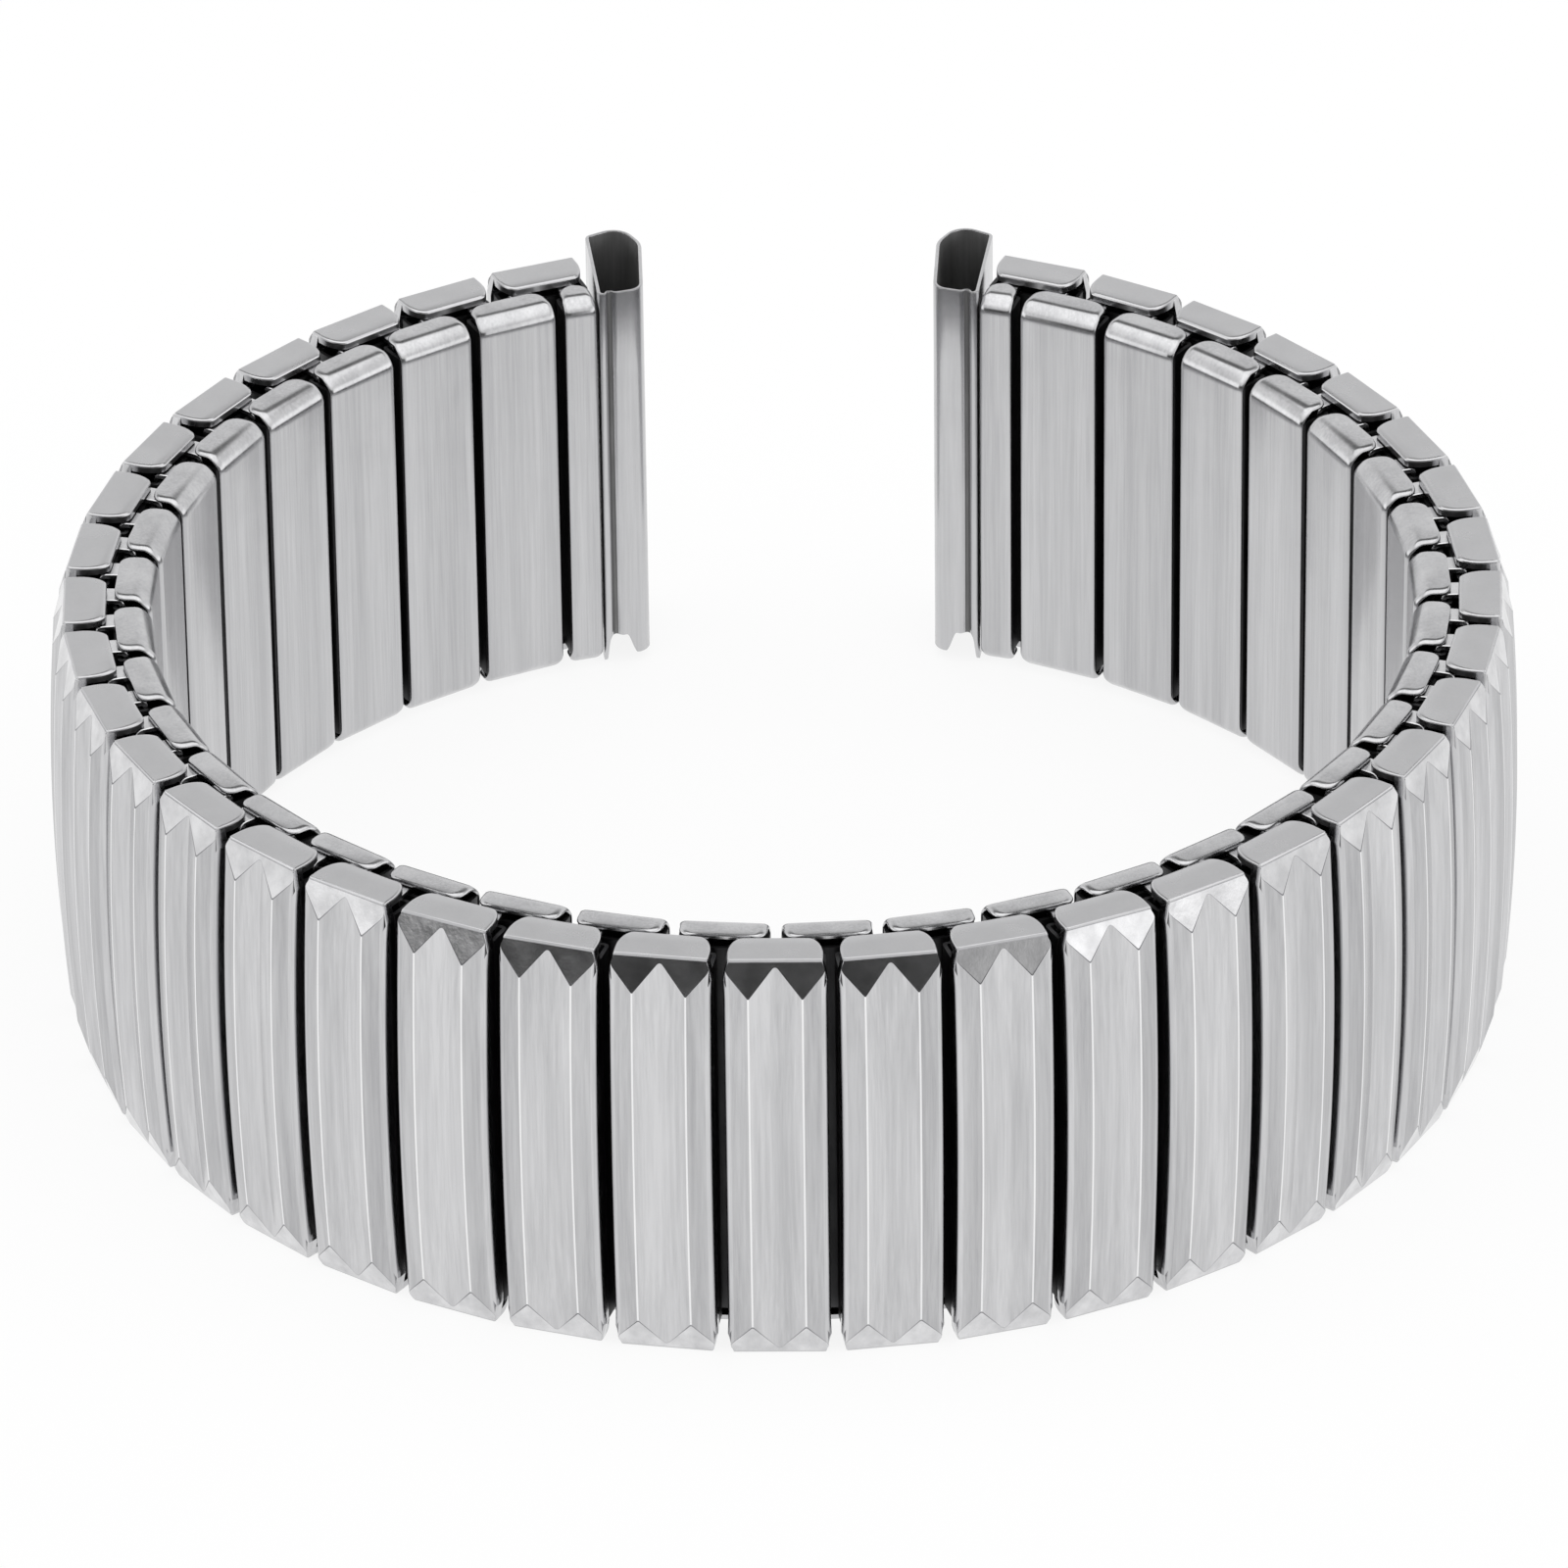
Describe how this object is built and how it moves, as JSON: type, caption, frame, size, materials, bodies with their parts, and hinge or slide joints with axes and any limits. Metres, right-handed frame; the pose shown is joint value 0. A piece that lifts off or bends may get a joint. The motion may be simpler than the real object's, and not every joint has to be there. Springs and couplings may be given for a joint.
{
  "type": "expansion watch band",
  "caption": "Curled steel expansion watch band: staggered rows of sprung hollow links joined by ribbon bows, with a folded spring-bar channel at each end.",
  "frame": {"origin": "middle of the bounding box in X and Y, on the lower band edge (the surface the band stands on)", "axes": "+Z across the band from one edge to the other, +Y from the middle link towards the open ends, +X to the side of the right end"},
  "size_m": [0.0594, 0.0594, 0.018],
  "materials": {
    "outer_links": "satin face with lengthwise grain and bright bevels",
    "inner_links": "fine brushed face with bright bent edges",
    "end_channel": "satin folded sheet"
  },
  "bodies": {
    "middle_link": {"outer_link_center": "outer_links"},
    "inner_r01": {"inner_link_r01": "inner_links"},
    "outer_r01": {"outer_link_r01": "outer_links"},
    "pair_r02": {"link_pair_r02": "outer_links"},
    "inner_r03": {"inner_link_r03": "inner_links"},
    "outer_r03": {"outer_link_r03": "outer_links"},
    "pair_r04": {"link_pair_r04": "outer_links"},
    "inner_r05": {"inner_link_r05": "inner_links"},
    "outer_r05": {"outer_link_r05": "outer_links"},
    "pair_r06": {"link_pair_r06": "outer_links"},
    "inner_r07": {"inner_link_r07": "inner_links"},
    "outer_r07": {"outer_link_r07": "outer_links"},
    "pair_r08": {"link_pair_r08": "outer_links"},
    "inner_r09": {"inner_link_r09": "inner_links"},
    "outer_r09": {"outer_link_r09": "outer_links"},
    "pair_r10": {"link_pair_r10": "outer_links"},
    "inner_r11": {"inner_link_r11": "inner_links"},
    "outer_r11": {"outer_link_r11": "outer_links"},
    "pair_r12": {"link_pair_r12": "outer_links"},
    "inner_r13": {"inner_link_r13": "inner_links"},
    "outer_r13": {"outer_link_r13": "outer_links"},
    "pair_r14": {"link_pair_r14": "outer_links"},
    "inner_r15": {"inner_link_r15": "inner_links"},
    "outer_r15": {"outer_link_r15": "outer_links"},
    "pair_r16": {"link_pair_r16": "outer_links"},
    "inner_r17": {"inner_link_r17": "inner_links"},
    "outer_r17": {"outer_link_r17": "outer_links"},
    "pair_r18": {"link_pair_r18": "outer_links"},
    "end_right": {"end_link_right": "inner_links", "end_channel_right": "end_channel"},
    "inner_l01": {"inner_link_l01": "inner_links"},
    "outer_l01": {"outer_link_l01": "outer_links"},
    "pair_l02": {"link_pair_l02": "outer_links"},
    "inner_l03": {"inner_link_l03": "inner_links"},
    "outer_l03": {"outer_link_l03": "outer_links"},
    "pair_l04": {"link_pair_l04": "outer_links"},
    "inner_l05": {"inner_link_l05": "inner_links"},
    "outer_l05": {"outer_link_l05": "outer_links"},
    "pair_l06": {"link_pair_l06": "outer_links"},
    "inner_l07": {"inner_link_l07": "inner_links"},
    "outer_l07": {"outer_link_l07": "outer_links"},
    "pair_l08": {"link_pair_l08": "outer_links"},
    "inner_l09": {"inner_link_l09": "inner_links"},
    "outer_l09": {"outer_link_l09": "outer_links"},
    "pair_l10": {"link_pair_l10": "outer_links"},
    "inner_l11": {"inner_link_l11": "inner_links"},
    "outer_l11": {"outer_link_l11": "outer_links"},
    "pair_l12": {"link_pair_l12": "outer_links"},
    "inner_l13": {"inner_link_l13": "inner_links"},
    "outer_l13": {"outer_link_l13": "outer_links"},
    "pair_l14": {"link_pair_l14": "outer_links"},
    "inner_l15": {"inner_link_l15": "inner_links"},
    "outer_l15": {"outer_link_l15": "outer_links"},
    "pair_l16": {"link_pair_l16": "outer_links"},
    "inner_l17": {"inner_link_l17": "inner_links"},
    "outer_l17": {"outer_link_l17": "outer_links"},
    "pair_l18": {"link_pair_l18": "outer_links"},
    "end_left": {"end_link_left": "inner_links", "end_channel_left": "end_channel"}
  },
  "joints": [
    {"name": "stretch_r01", "type": "slide", "parent": "middle_link", "child": "inner_r01", "axis": [0.9993, 0.0383, 0], "range_m": [0, 0.00065], "stiffness_N_per_m": 60},
    {"name": "flex_r01", "type": "hinge", "parent": "inner_r01", "child": "outer_r01", "pos_m": [0.00342, -0.02741, 0.009], "axis": [0, 0, 1], "range_deg": [-12, 1]},
    {"name": "stretch_r02", "type": "slide", "parent": "outer_r01", "child": "pair_r02", "axis": [0.9817, 0.1904, 0], "range_m": [0, 0.00065], "stiffness_N_per_m": 60},
    {"name": "stretch_r03", "type": "slide", "parent": "pair_r02", "child": "inner_r03", "axis": [0.9411, 0.338, 0], "range_m": [0, 0.00065], "stiffness_N_per_m": 60},
    {"name": "flex_r03", "type": "hinge", "parent": "inner_r03", "child": "outer_r03", "pos_m": [0.01152, -0.0251, 0.009], "axis": [0, 0, 1], "range_deg": [-12, 1]},
    {"name": "stretch_r04", "type": "slide", "parent": "outer_r03", "child": "pair_r04", "axis": [0.8785, 0.4777, 0], "range_m": [0, 0.00065], "stiffness_N_per_m": 60},
    {"name": "stretch_r05", "type": "slide", "parent": "pair_r04", "child": "inner_r05", "axis": [0.7953, 0.6062, 0], "range_m": [0, 0.00065], "stiffness_N_per_m": 60},
    {"name": "flex_r05", "type": "hinge", "parent": "inner_r05", "child": "outer_r05", "pos_m": [0.01855, -0.02046, 0.009], "axis": [0, 0, 1], "range_deg": [-12, 1]},
    {"name": "stretch_r06", "type": "slide", "parent": "outer_r05", "child": "pair_r06", "axis": [0.6935, 0.7205, 0], "range_m": [0, 0.00065], "stiffness_N_per_m": 60},
    {"name": "stretch_r07", "type": "slide", "parent": "pair_r06", "child": "inner_r07", "axis": [0.5754, 0.8179, 0], "range_m": [0, 0.00065], "stiffness_N_per_m": 60},
    {"name": "flex_r07", "type": "hinge", "parent": "inner_r07", "child": "outer_r07", "pos_m": [0.02385, -0.01391, 0.009], "axis": [0, 0, 1], "range_deg": [-12, 1]},
    {"name": "stretch_r08", "type": "slide", "parent": "outer_r07", "child": "pair_r08", "axis": [0.4438, 0.8961, 0], "range_m": [0, 0.00065], "stiffness_N_per_m": 60},
    {"name": "stretch_r09", "type": "slide", "parent": "pair_r08", "child": "inner_r09", "axis": [0.3018, 0.9534, 0], "range_m": [0, 0.00065], "stiffness_N_per_m": 60},
    {"name": "flex_r09", "type": "hinge", "parent": "inner_r09", "child": "outer_r09", "pos_m": [0.02693, -0.00607, 0.009], "axis": [0, 0, 1], "range_deg": [-12, 1]},
    {"name": "stretch_r10", "type": "slide", "parent": "outer_r09", "child": "pair_r10", "axis": [0.1527, 0.9883, 0], "range_m": [0, 0.00065], "stiffness_N_per_m": 60},
    {"name": "stretch_r11", "type": "slide", "parent": "pair_r10", "child": "inner_r11", "axis": [0.0001, 1, 0], "range_m": [0, 0.00065], "stiffness_N_per_m": 60},
    {"name": "flex_r11", "type": "hinge", "parent": "inner_r11", "child": "outer_r11", "pos_m": [0.02749, 0.00234, 0.009], "axis": [0, 0, 1], "range_deg": [-12, 1]},
    {"name": "stretch_r12", "type": "slide", "parent": "outer_r11", "child": "pair_r12", "axis": [-0.1526, 0.9883, 0], "range_m": [0, 0.00065], "stiffness_N_per_m": 60},
    {"name": "stretch_r13", "type": "slide", "parent": "pair_r12", "child": "inner_r13", "axis": [-0.3016, 0.9534, 0], "range_m": [0, 0.00065], "stiffness_N_per_m": 60},
    {"name": "flex_r13", "type": "hinge", "parent": "inner_r13", "child": "outer_r13", "pos_m": [0.0255, 0.01052, 0.009], "axis": [0, 0, 1], "range_deg": [-12, 1]},
    {"name": "stretch_r14", "type": "slide", "parent": "outer_r13", "child": "pair_r14", "axis": [-0.4436, 0.8962, 0], "range_m": [0, 0.00065], "stiffness_N_per_m": 60},
    {"name": "stretch_r15", "type": "slide", "parent": "pair_r14", "child": "inner_r15", "axis": [-0.5752, 0.818, 0], "range_m": [0, 0.00065], "stiffness_N_per_m": 60},
    {"name": "flex_r15", "type": "hinge", "parent": "inner_r15", "child": "outer_r15", "pos_m": [0.02113, 0.01772, 0.009], "axis": [0, 0, 1], "range_deg": [-12, 1]},
    {"name": "stretch_r16", "type": "slide", "parent": "outer_r15", "child": "pair_r16", "axis": [-0.6933, 0.7206, 0], "range_m": [0, 0.00065], "stiffness_N_per_m": 60},
    {"name": "stretch_r17", "type": "slide", "parent": "pair_r16", "child": "inner_r17", "axis": [-0.7952, 0.6063, 0], "range_m": [0, 0.00065], "stiffness_N_per_m": 60},
    {"name": "flex_r17", "type": "hinge", "parent": "inner_r17", "child": "outer_r17", "pos_m": [0.01479, 0.02327, 0.009], "axis": [0, 0, 1], "range_deg": [-12, 1]},
    {"name": "stretch_r18", "type": "slide", "parent": "outer_r17", "child": "pair_r18", "axis": [-0.8784, 0.4778, 0], "range_m": [0, 0.00065], "stiffness_N_per_m": 60},
    {"name": "stretch_r19", "type": "slide", "parent": "pair_r18", "child": "end_right", "axis": [-0.9411, 0.3382, 0], "range_m": [0, 0.00065], "stiffness_N_per_m": 60},
    {"name": "stretch_l01", "type": "slide", "parent": "middle_link", "child": "inner_l01", "axis": [-0.9993, 0.0383, 0], "range_m": [0, 0.00065], "stiffness_N_per_m": 60},
    {"name": "flex_l01", "type": "hinge", "parent": "inner_l01", "child": "outer_l01", "pos_m": [-0.00342, -0.02741, 0.009], "axis": [0, 0, -1], "range_deg": [-12, 1]},
    {"name": "stretch_l02", "type": "slide", "parent": "outer_l01", "child": "pair_l02", "axis": [-0.9817, 0.1904, 0], "range_m": [0, 0.00065], "stiffness_N_per_m": 60},
    {"name": "stretch_l03", "type": "slide", "parent": "pair_l02", "child": "inner_l03", "axis": [-0.9411, 0.338, 0], "range_m": [0, 0.00065], "stiffness_N_per_m": 60},
    {"name": "flex_l03", "type": "hinge", "parent": "inner_l03", "child": "outer_l03", "pos_m": [-0.01152, -0.0251, 0.009], "axis": [0, 0, -1], "range_deg": [-12, 1]},
    {"name": "stretch_l04", "type": "slide", "parent": "outer_l03", "child": "pair_l04", "axis": [-0.8785, 0.4777, 0], "range_m": [0, 0.00065], "stiffness_N_per_m": 60},
    {"name": "stretch_l05", "type": "slide", "parent": "pair_l04", "child": "inner_l05", "axis": [-0.7953, 0.6062, 0], "range_m": [0, 0.00065], "stiffness_N_per_m": 60},
    {"name": "flex_l05", "type": "hinge", "parent": "inner_l05", "child": "outer_l05", "pos_m": [-0.01855, -0.02046, 0.009], "axis": [0, 0, -1], "range_deg": [-12, 1]},
    {"name": "stretch_l06", "type": "slide", "parent": "outer_l05", "child": "pair_l06", "axis": [-0.6935, 0.7205, 0], "range_m": [0, 0.00065], "stiffness_N_per_m": 60},
    {"name": "stretch_l07", "type": "slide", "parent": "pair_l06", "child": "inner_l07", "axis": [-0.5754, 0.8179, 0], "range_m": [0, 0.00065], "stiffness_N_per_m": 60},
    {"name": "flex_l07", "type": "hinge", "parent": "inner_l07", "child": "outer_l07", "pos_m": [-0.02385, -0.01391, 0.009], "axis": [0, 0, -1], "range_deg": [-12, 1]},
    {"name": "stretch_l08", "type": "slide", "parent": "outer_l07", "child": "pair_l08", "axis": [-0.4438, 0.8961, 0], "range_m": [0, 0.00065], "stiffness_N_per_m": 60},
    {"name": "stretch_l09", "type": "slide", "parent": "pair_l08", "child": "inner_l09", "axis": [-0.3018, 0.9534, 0], "range_m": [0, 0.00065], "stiffness_N_per_m": 60},
    {"name": "flex_l09", "type": "hinge", "parent": "inner_l09", "child": "outer_l09", "pos_m": [-0.02693, -0.00607, 0.009], "axis": [0, 0, -1], "range_deg": [-12, 1]},
    {"name": "stretch_l10", "type": "slide", "parent": "outer_l09", "child": "pair_l10", "axis": [-0.1527, 0.9883, 0], "range_m": [0, 0.00065], "stiffness_N_per_m": 60},
    {"name": "stretch_l11", "type": "slide", "parent": "pair_l10", "child": "inner_l11", "axis": [-0.0001, 1, 0], "range_m": [0, 0.00065], "stiffness_N_per_m": 60},
    {"name": "flex_l11", "type": "hinge", "parent": "inner_l11", "child": "outer_l11", "pos_m": [-0.02749, 0.00234, 0.009], "axis": [0, 0, -1], "range_deg": [-12, 1]},
    {"name": "stretch_l12", "type": "slide", "parent": "outer_l11", "child": "pair_l12", "axis": [0.1526, 0.9883, 0], "range_m": [0, 0.00065], "stiffness_N_per_m": 60},
    {"name": "stretch_l13", "type": "slide", "parent": "pair_l12", "child": "inner_l13", "axis": [0.3016, 0.9534, 0], "range_m": [0, 0.00065], "stiffness_N_per_m": 60},
    {"name": "flex_l13", "type": "hinge", "parent": "inner_l13", "child": "outer_l13", "pos_m": [-0.0255, 0.01052, 0.009], "axis": [0, 0, -1], "range_deg": [-12, 1]},
    {"name": "stretch_l14", "type": "slide", "parent": "outer_l13", "child": "pair_l14", "axis": [0.4436, 0.8962, 0], "range_m": [0, 0.00065], "stiffness_N_per_m": 60},
    {"name": "stretch_l15", "type": "slide", "parent": "pair_l14", "child": "inner_l15", "axis": [0.5752, 0.818, 0], "range_m": [0, 0.00065], "stiffness_N_per_m": 60},
    {"name": "flex_l15", "type": "hinge", "parent": "inner_l15", "child": "outer_l15", "pos_m": [-0.02113, 0.01772, 0.009], "axis": [0, 0, -1], "range_deg": [-12, 1]},
    {"name": "stretch_l16", "type": "slide", "parent": "outer_l15", "child": "pair_l16", "axis": [0.6933, 0.7206, 0], "range_m": [0, 0.00065], "stiffness_N_per_m": 60},
    {"name": "stretch_l17", "type": "slide", "parent": "pair_l16", "child": "inner_l17", "axis": [0.7952, 0.6063, 0], "range_m": [0, 0.00065], "stiffness_N_per_m": 60},
    {"name": "flex_l17", "type": "hinge", "parent": "inner_l17", "child": "outer_l17", "pos_m": [-0.01479, 0.02327, 0.009], "axis": [0, 0, -1], "range_deg": [-12, 1]},
    {"name": "stretch_l18", "type": "slide", "parent": "outer_l17", "child": "pair_l18", "axis": [0.8784, 0.4778, 0], "range_m": [0, 0.00065], "stiffness_N_per_m": 60},
    {"name": "stretch_l19", "type": "slide", "parent": "pair_l18", "child": "end_left", "axis": [0.9411, 0.3382, 0], "range_m": [0, 0.00065], "stiffness_N_per_m": 60}
  ],
  "couplings": [
    {"joint": "stretch_r02", "follows": "stretch_r01", "ratio": 1},
    {"joint": "stretch_r03", "follows": "stretch_r01", "ratio": 1},
    {"joint": "stretch_r04", "follows": "stretch_r01", "ratio": 1},
    {"joint": "stretch_r05", "follows": "stretch_r01", "ratio": 1},
    {"joint": "stretch_r06", "follows": "stretch_r01", "ratio": 1},
    {"joint": "stretch_r07", "follows": "stretch_r01", "ratio": 1},
    {"joint": "stretch_r08", "follows": "stretch_r01", "ratio": 1},
    {"joint": "stretch_r09", "follows": "stretch_r01", "ratio": 1},
    {"joint": "stretch_r10", "follows": "stretch_r01", "ratio": 1},
    {"joint": "stretch_r11", "follows": "stretch_r01", "ratio": 1},
    {"joint": "stretch_r12", "follows": "stretch_r01", "ratio": 1},
    {"joint": "stretch_r13", "follows": "stretch_r01", "ratio": 1},
    {"joint": "stretch_r14", "follows": "stretch_r01", "ratio": 1},
    {"joint": "stretch_r15", "follows": "stretch_r01", "ratio": 1},
    {"joint": "stretch_r16", "follows": "stretch_r01", "ratio": 1},
    {"joint": "stretch_r17", "follows": "stretch_r01", "ratio": 1},
    {"joint": "stretch_r18", "follows": "stretch_r01", "ratio": 1},
    {"joint": "stretch_r19", "follows": "stretch_r01", "ratio": 1},
    {"joint": "stretch_l01", "follows": "stretch_r01", "ratio": 1},
    {"joint": "stretch_l02", "follows": "stretch_r01", "ratio": 1},
    {"joint": "stretch_l03", "follows": "stretch_r01", "ratio": 1},
    {"joint": "stretch_l04", "follows": "stretch_r01", "ratio": 1},
    {"joint": "stretch_l05", "follows": "stretch_r01", "ratio": 1},
    {"joint": "stretch_l06", "follows": "stretch_r01", "ratio": 1},
    {"joint": "stretch_l07", "follows": "stretch_r01", "ratio": 1},
    {"joint": "stretch_l08", "follows": "stretch_r01", "ratio": 1},
    {"joint": "stretch_l09", "follows": "stretch_r01", "ratio": 1},
    {"joint": "stretch_l10", "follows": "stretch_r01", "ratio": 1},
    {"joint": "stretch_l11", "follows": "stretch_r01", "ratio": 1},
    {"joint": "stretch_l12", "follows": "stretch_r01", "ratio": 1},
    {"joint": "stretch_l13", "follows": "stretch_r01", "ratio": 1},
    {"joint": "stretch_l14", "follows": "stretch_r01", "ratio": 1},
    {"joint": "stretch_l15", "follows": "stretch_r01", "ratio": 1},
    {"joint": "stretch_l16", "follows": "stretch_r01", "ratio": 1},
    {"joint": "stretch_l17", "follows": "stretch_r01", "ratio": 1},
    {"joint": "stretch_l18", "follows": "stretch_r01", "ratio": 1},
    {"joint": "stretch_l19", "follows": "stretch_r01", "ratio": 1}
  ]
}
